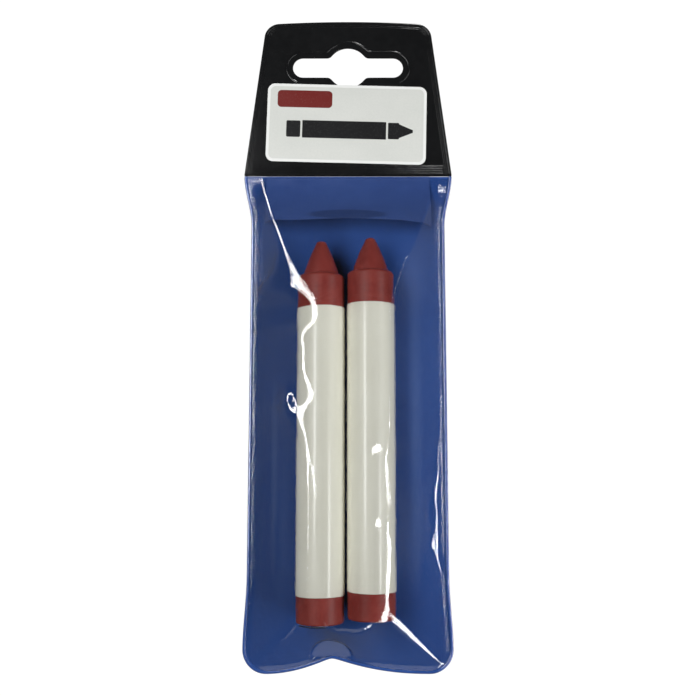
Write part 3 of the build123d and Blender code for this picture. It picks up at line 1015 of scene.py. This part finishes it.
def ply_rings(low_z, high_z):
    """A header ply as closed rings: from the slot's edge out to the header's edge on top, and back below.
    Each ring point lies on a ray from the slot's middle, and edges are broken by a small step."""
    centre = np.array([0.0, SLOT_Y])
    inner = slot_path(0.0)
    outer = header_path()
    angles = [np.arctan2(p[:, 1] - SLOT_Y, p[:, 0]) for p in (inner, outer)]
    rays = np.unique(np.concatenate(angles))
    rays = rays[np.concatenate([[True], np.diff(rays) > 1e-5])]
    reaches = []
    for path, angle in zip((inner, outer), angles):
        order = np.argsort(angle)
        reach = np.linalg.norm(path - centre, axis=1)
        reaches.append(np.interp(rays, angle[order], reach[order], period=2.0 * math.pi))
    steps = (
        (0.0, 0.0, BROKEN_EDGE),
        (0.0, BROKEN_EDGE, 0.0),
        (0.5, 0.0, 0.0),
        (1.0, -BROKEN_EDGE, 0.0),
        (1.0, 0.0, BROKEN_EDGE),
    )
    rings = []
    for flip in (False, True):
        for share, out, drop in steps[::-1] if flip else steps:
            reach = reaches[0] + (reaches[1] - reaches[0]) * share + out
            z = low_z + drop if flip else high_z - drop
            plan = centre + reach[:, None] * np.stack([np.cos(rays), np.sin(rays)], 1)
            rings.append(np.concatenate([plan, np.full((len(rays), 1), z)], 1))
    return np.stack(rings)


def rod_rings(low_x, high_x, y, z, radius, start, end):
    """A rod along X with a section that runs from one angle to another about its axis, closed by a chord."""
    turn = np.linspace(start, end, 15)
    x = np.linspace(low_x, high_x, 40)
    ring_y = y + radius * np.cos(turn)
    ring_z = z + radius * np.sin(turn)
    return np.stack(np.broadcast_arrays(x[:, None], ring_y[None, :], ring_z[None, :]), 2)


def raised_line(path, middle, width, rise):
    """A half-round line on the header's front along a path, middle away to its left, as a surface."""
    profile = half_round(middle, width, HEADER_TOP_Z - LINE_SUNK, HEADER_TOP_Z + rise)
    return capped(sweep(path, profile, False)), False, True


def fold_bead(start, end):
    """The part of the round bead at the fold that lies between two angles about its axis, as a surface."""
    half = SEAM_HALF - FOLD_SHORT
    return capped(rod_rings(-half, half, SEAM_Y, FILM, FILM, start, end)), False, True


def make_header_front():
    """The header's front ply, with a rim bead and two fine lines inside it, a line round the slot above the
    label, weld ribs along the seam and half of the round fold bead."""
    surfaces = [(ply_rings(FILM, HEADER_TOP_Z), True, True)]
    rim_path = header_path()
    rim_path = rim_path[rim_path[:, 1] > SEAM_Y + RIM_START]
    for middle, width, rise in RIM_LINES:
        surfaces.append(raised_line(rim_path, middle, width, rise))
    line = slot_path(SLOT_LINE_OFFSET)
    above = line[:, 1] > LABEL_CENTRE[1] + LABEL_HALF_Y + 0.9
    line = np.roll(line, -int(np.argmax(~above)), 0)
    line = line[np.roll(above, -int(np.argmax(~above)))]
    surfaces.append(raised_line(line, 0.0, SLOT_LINE_WIDTH, LINE_RISE))
    rib_half = SEAM_HALF - RIB_SHORT
    rib_x = np.linspace(-rib_half, rib_half, 160)
    for i in range(RIB_COUNT):
        wander = 0.03 * np.sin(rib_x * 1.7 + i) * np.sin(rib_x * 0.31)
        path = np.stack([rib_x, SEAM_Y + RIB_START + RIB_PITCH * i + wander], 1)
        surfaces.append(raised_line(path, 0.0, RIB_WIDTH, LINE_RISE))
    surfaces.append(fold_bead(0.0, math.pi))
    piece = add_piece("header_front_ply", surfaces, HEADER_FINISH, 40.0)
    return place_piece(piece, "header", "header_black", "header_front")


def make_header_back():
    """The header's rear ply with the lower half of the round fold bead."""
    surfaces = [(ply_rings(0.0, FILM), True, True), fold_bead(math.pi, 2.0 * math.pi)]
    piece = add_piece("header_back_ply", surfaces, HEADER_FINISH, 40.0)
    return place_piece(piece, "header", "header_black", "header_back")


def make_label():
    """The paper label: rings from its middle out to a rectangle with round corners, a cut edge and a back."""
    turn = np.linspace(0.0, math.pi / 2, 12)
    corner_x = LABEL_HALF_X - LABEL_CORNER + LABEL_CORNER * np.cos(turn)
    corner_y = LABEL_HALF_Y - LABEL_CORNER + LABEL_CORNER * np.sin(turn)
    quarter = np.stack([corner_x, corner_y], 1)
    flip = quarter[::-1]
    outline = np.concatenate([quarter, flip * (-1, 1), quarter * (-1, -1), flip * (1, -1)])
    low_z = HEADER_TOP_Z + 0.01
    rings = []
    cosine = math.cos(LABEL_TURN)
    sine = math.sin(LABEL_TURN)
    front = ((0.0, LABEL_Z), (0.5, LABEL_Z), (0.985, LABEL_Z), (1.0, LABEL_Z - 0.03))
    for share, z in (*front, (1.0, low_z), (0.0, low_z)):
        plan = outline * share
        x = LABEL_CENTRE[0] + plan[:, 0] * cosine - plan[:, 1] * sine
        y = LABEL_CENTRE[1] + plan[:, 0] * sine + plan[:, 1] * cosine
        rings.append(np.stack([x, y, np.full(len(plan), z)], 1))
    piece = add_piece("paper_label", [(np.stack(rings), False, True)], LABEL_FINISH, 40.0)
    return place_piece(piece, "header", "label_paper", "label")


def revolved(profile, centre_x, butt_y, centre_z, count, wobble):
    """A profile of (distance along the crayon, radius) turned about the crayon's axis. Wobble gives what is
    added to the radius from the place along and the angle."""
    turn = np.linspace(0.0, 2.0 * math.pi, count, endpoint=False)[None, :]
    along = profile[:, :1]
    radius = np.broadcast_to(profile[:, 1:], (len(profile), count))
    radius = radius + wobble(along, turn) * (radius > 0.0)
    x = centre_x + radius * np.sin(turn)
    z = centre_z + radius * np.cos(turn)
    return np.stack(np.broadcast_arrays(x, butt_y + along, z), 2)


def make_wax(side, phase):
    """One wax stick: its butt with a worn round edge, the body, a rounded shoulder step, the cone and a domed
    tip, all slightly uneven."""
    low, high = node_box(side + "_wax_stick")
    centre = (low + high) / 2
    cone_y = CRAYON_LENGTH - CONE_LENGTH
    shoulder_y = cone_y - SHOULDER_LENGTH
    cone_radius = WAX_RADIUS - SHOULDER_STEP
    turn = np.linspace(0.0, math.pi / 2, 10)
    butt_along = BUTT_ROUND * (1.0 - np.cos(turn))
    butt_radius = WAX_RADIUS - BUTT_ROUND * (1.0 - np.sin(turn))
    butt = np.stack([butt_along, butt_radius], 1)
    body_along = np.linspace(BUTT_ROUND + 0.2, shoulder_y - 0.3, 40)
    body = np.stack([body_along, np.full(40, WAX_RADIUS)], 1)
    shoulder_along = shoulder_y + SHOULDER_LENGTH * np.sin(turn)
    shoulder_radius = WAX_RADIUS - SHOULDER_STEP * (1.0 - np.cos(turn))
    shoulder = np.stack([shoulder_along, shoulder_radius], 1)
    share = np.linspace(0.02, 0.97, 24)
    dome_y = CRAYON_LENGTH - TIP_DOME
    cone_along = cone_y + (dome_y - cone_y) * share
    bulge = 4.0 * CONE_BULGE * share * (1.0 - share)
    cone = np.stack([cone_along, cone_radius + (TIP_RADIUS - cone_radius) * share + bulge], 1)
    dome_turn = np.linspace(0.15, math.pi / 2, 8)
    dome = np.stack([dome_y + TIP_DOME * np.sin(dome_turn), TIP_RADIUS * np.cos(dome_turn)], 1)
    start = np.array([[0.0, 0.0], [0.0, WAX_RADIUS * 0.5]])
    profile = np.concatenate([start, butt, body, shoulder, cone, dome])
    profile[-1, 1] = 0.0

    def uneven(along, turn):
        """A shallow sum of waves along and round the stick, stronger on the cone."""
        bare = 0.25 + smooth_step((along - cone_y + 6.0) / 6.0)
        waves = np.sin(3.0 * turn + along * 0.7 + phase) + np.sin(5.0 * turn - along * 1.9 + 2.0 * phase)
        return -WAX_WEAR * bare * (1.0 + 0.5 * waves)

    surface = revolved(profile, centre[0], low[1], centre[2], 96, uneven)
    piece = add_piece(side + "_wax", [(surface, False, True)], WAX_FINISH, 50.0)
    return place_piece(piece, "crayon_" + side, "wax_red", side + "_wax_stick")


def make_sleeve(side, phase):
    """One paper sleeve: a rolled sheet with a thin wall, a soft edge at each end that wanders a little, and
    the lap of its glued edge as a step along the underside."""
    low, high = node_box(side + "_paper_sleeve")
    wax_low, wax_high = node_box(side + "_wax_stick")
    centre = (wax_low + wax_high) / 2
    inner = PAPER_RADIUS - PAPER_THICKNESS
    length = high[1] - low[1]
    body = np.linspace(0.25, length - 0.25, 46)
    outer_side = np.stack([body, np.full(46, PAPER_RADIUS)], 1)
    edge = np.array([[0.05, PAPER_RADIUS - 0.01], [0.0, PAPER_RADIUS - 0.05], [0.0, inner + 0.01]])
    ends = np.array([length, 0.0]) + edge * (-1.0, 1.0)
    inner_side = np.stack([body[::-1][[0, -1]], np.full(2, inner)], 1)
    profile = np.concatenate([outer_side, ends, inner_side, edge[::-1]])

    def lapped(along, turn):
        """The lap raises the outer wall by one paper thickness over a band round the underside."""
        under = np.abs(turn - math.pi) - LAP_HALF
        band = smooth_step(0.5 - under / LAP_EDGE)
        return PAPER_THICKNESS * band * (profile[:, 1:] > inner + 0.03)

    surface = revolved(profile, centre[0], low[1], centre[2], 128, lapped)
    turn = np.linspace(0.0, 2.0 * math.pi, 128, endpoint=False)[None, :]
    end_share = smooth_step(np.abs(2.0 * profile[:, :1] / length - 1.0) * 8.0 - 7.0)
    sway = END_SWAY * (np.sin(turn + phase) + 0.5 * np.sin(3.0 * turn + 2.2 * phase))
    surface[..., 1] += end_share * (sway - END_SHORT * np.sign(profile[:, :1] - length / 2))
    piece = add_piece(side + "_sleeve", [(surface, True, True)], PAPER_FINISH, 50.0)
    return place_piece(piece, "crayon_" + side, "sleeve_paper", side + "_paper_sleeve")


clear_film = make_clear_film()
back_film = make_back_film()
tuck_flap = make_tuck_flap()
header_front = make_header_front()
make_header_back()
make_label()
for crayon_side, crayon_phase in (("left", 0.4), ("right", 2.1)):
    make_wax(crayon_side, crayon_phase)
    make_sleeve(crayon_side, crayon_phase)


# Stage, lamps and camera
FLOOR_Z = -0.05
MIRRORED_SHARE = 0.05
LAMP_TARGET = np.array([0.0, -10.0, 8.0])
SHEEN_LEVEL = 26.0
GLINT_LEVEL = 40.0
CARD_LEVEL = 1.0
LEFT_SOFT_LEVEL = 6.25
RIGHT_SOFT_LEVEL = 5.6
CAMERA_PLACE = np.array([0.0, -32.2, 228.5])
PICTURE_PIXELS = 696.0
FOCAL_PIXELS = 880.0
TIP_PIXELS = 109.0


def seen_rays(tree):
    """1 for rays that show the stage: camera rays, and rays through clear film before any other bounce. Also
    the Light Path's outputs."""
    rays = tree.add("LightPath").outputs
    bounces = tree.math("ADD", rays["Diffuse Depth"], rays["Glossy Depth"])
    first = tree.math("LESS_THAN", bounces, 0.5)
    through = tree.math("MULTIPLY", rays["Is Transmission Ray"], first)
    return tree.math("MAXIMUM", rays["Is Camera Ray"], through), rays


def make_floor():
    """A round floor under the wallet, white where it is seen and with a faint shadow."""
    turn = np.linspace(0.0, 2.0 * math.pi, 96, endpoint=False)
    ring = np.stack([np.cos(turn), np.sin(turn), np.zeros_like(turn)], 1)
    rings = np.stack([ring * reach for reach in (0.0, 200.0, 450.0)])
    rings[..., 2] = FLOOR_Z
    material, tree, dim = new_material("floor_finish")
    tree.fill(dim, {"Base Color": (0.05, 0.05, 0.05, 1), "Roughness": 0.9})
    soft = tree.add("BsdfDiffuse", {"Color": (0.12, 0.12, 0.12, 1)})
    glow = tree.add("Emission", {"Strength": 0.93})
    white = tree.add("AddShader", {0: soft.outputs[0], 1: glow.outputs[0]})
    seen, rays = seen_rays(tree)
    mirrored = tree.math("MULTIPLY", rays["Is Glossy Ray"], MIRRORED_SHARE)
    tree.show_mix(tree.math("MAXIMUM", seen, mirrored), dim, white)
    floor = add_piece("floor", [(rings, False, True)], material)


def make_world():
    """A plain room: dim overhead, a little paler towards the horizon, and white where the camera sees it."""
    world = bpy.data.worlds.new("room")
    bpy.context.scene.world = world
    world.use_nodes = True
    tree = Tree(world.node_tree)
    room = tree.nodes["Background"]
    up = tree.split(tree.add("TexCoord").outputs["Generated"])["Z"]
    level = tree.ramp(up, 0.05, 0.85, 0.1, 0.06)
    seen, rays = seen_rays(tree)
    outside = tree.math("SUBTRACT", 1.0, rays["Is Transmission Ray"])
    tree.fill(room, {"Color": (0.96, 0.98, 1.0, 1), "Strength": tree.math("MULTIPLY", level, outside)})
    white = tree.add("Background", {"Color": (1.0, 1.0, 1.0, 1.0)})
    tree.show_mix(seen, room, white, "World Output")


def add_lamp(name, start, end, width, radiance, pieces, sheen=True):
    """A flat lamp that runs from one place to another, turned about its length to face the pouch, and lights
    the pieces given. Its power is four times its area times the radiance it shows. A sheen lamp shows in
    their gloss only, and on the clear film only to rays that come from outside the pouch."""
    start = np.array(start)
    end = np.array(end)
    middle = (start + end) / 2
    length = np.linalg.norm(end - start)
    along = (end - start) / length
    back = middle - LAMP_TARGET
    back -= (back @ along) * along
    back /= np.linalg.norm(back)
    data = bpy.data.lights.new(name, "AREA")
    data.shape = "RECTANGLE"
    data.size = width * MM
    data.size_y = length * MM
    data.energy = 4.0 * data.size * data.size_y * radiance
    lamp = bpy.data.objects.new(name, data)
    rows = np.stack([np.cross(along, back), along, back, middle * MM], 1)
    lamp.matrix_world = Matrix([*rows.tolist(), (0.0, 0.0, 0.0, 1.0)])
    lamp.visible_camera = False
    lamp.visible_transmission = False
    lamp.visible_diffuse = not sheen
    bpy.context.scene.collection.objects.link(lamp)
    receivers = bpy.data.collections.new(name + "_receivers")
    for piece in pieces:
        receivers.objects.link(piece)
    lamp.light_linking.receiver_collection = receivers
    if clear_film in pieces:
        data.use_nodes = True
        tree = Tree(data.node_tree)
        rays = tree.add("LightPath").outputs
        steps = tree.math("ADD", rays["Diffuse Depth"], rays["Transmission Depth"])
        tree.fill(tree.nodes["Emission"], {"Strength": tree.math("LESS_THAN", steps, 0.5)})


def make_camera():
    """The photograph's view: from above the pouch, tipped a little towards the header."""
    data = bpy.data.cameras.new("camera")
    data.sensor_width = 36.0
    data.lens = data.sensor_width * FOCAL_PIXELS / PICTURE_PIXELS
    data.clip_start = 0.01
    camera = bpy.data.objects.new("camera", data)
    camera.location = CAMERA_PLACE * MM
    camera.rotation_euler = (math.atan(TIP_PIXELS / FOCAL_PIXELS), 0.0, 0.0)
    bpy.context.scene.collection.objects.link(camera)
    bpy.context.scene.camera = camera


make_floor()
make_world()
solid_pieces = [piece for piece in bpy.context.scene.objects if piece.type == "MESH" and piece != clear_film]
sleeves = [piece for piece in solid_pieces if piece.name.endswith("_sleeve")]
films = [clear_film, back_film]
add_lamp("left_soft", (-140, -80, 270), (-150, 160, 250), 120.0, LEFT_SOFT_LEVEL, solid_pieces, sheen=False)
add_lamp("right_soft", (215, -250, 150), (285, 150, 215), 90.0, RIGHT_SOFT_LEVEL, solid_pieces, sheen=False)
add_lamp("left_strip", (-135, -75, 275), (-150, 150, 240), 70.0, SHEEN_LEVEL, films)
add_lamp("right_strip", (165, -360, 75), (248, -24, 174), 55.0, SHEEN_LEVEL, films)
add_lamp("right_far_strip", (271, 72, 202), (290, 150, 225), 55.0, SHEEN_LEVEL, films)
add_lamp("left_glint", (-130, -75, 250), (-130, 60, 250), 14.0, GLINT_LEVEL, sleeves)
add_lamp("right_glint", (170, -260, 200), (176, -30, 200), 14.0, GLINT_LEVEL, sleeves)
add_lamp("far_left_strip", (-150, 165, 225), (-165, 330, 60), 50.0, SHEEN_LEVEL, [clear_film])
add_lamp("header_strip", (40, 330, 90), (80, 330, 90), 120.0, SHEEN_LEVEL, [header_front])
add_lamp("front_card", (-110, -330, 145), (110, -330, 145), 170.0, CARD_LEVEL, [clear_film])
make_camera()
bpy.context.scene.view_settings.view_transform = "Standard"
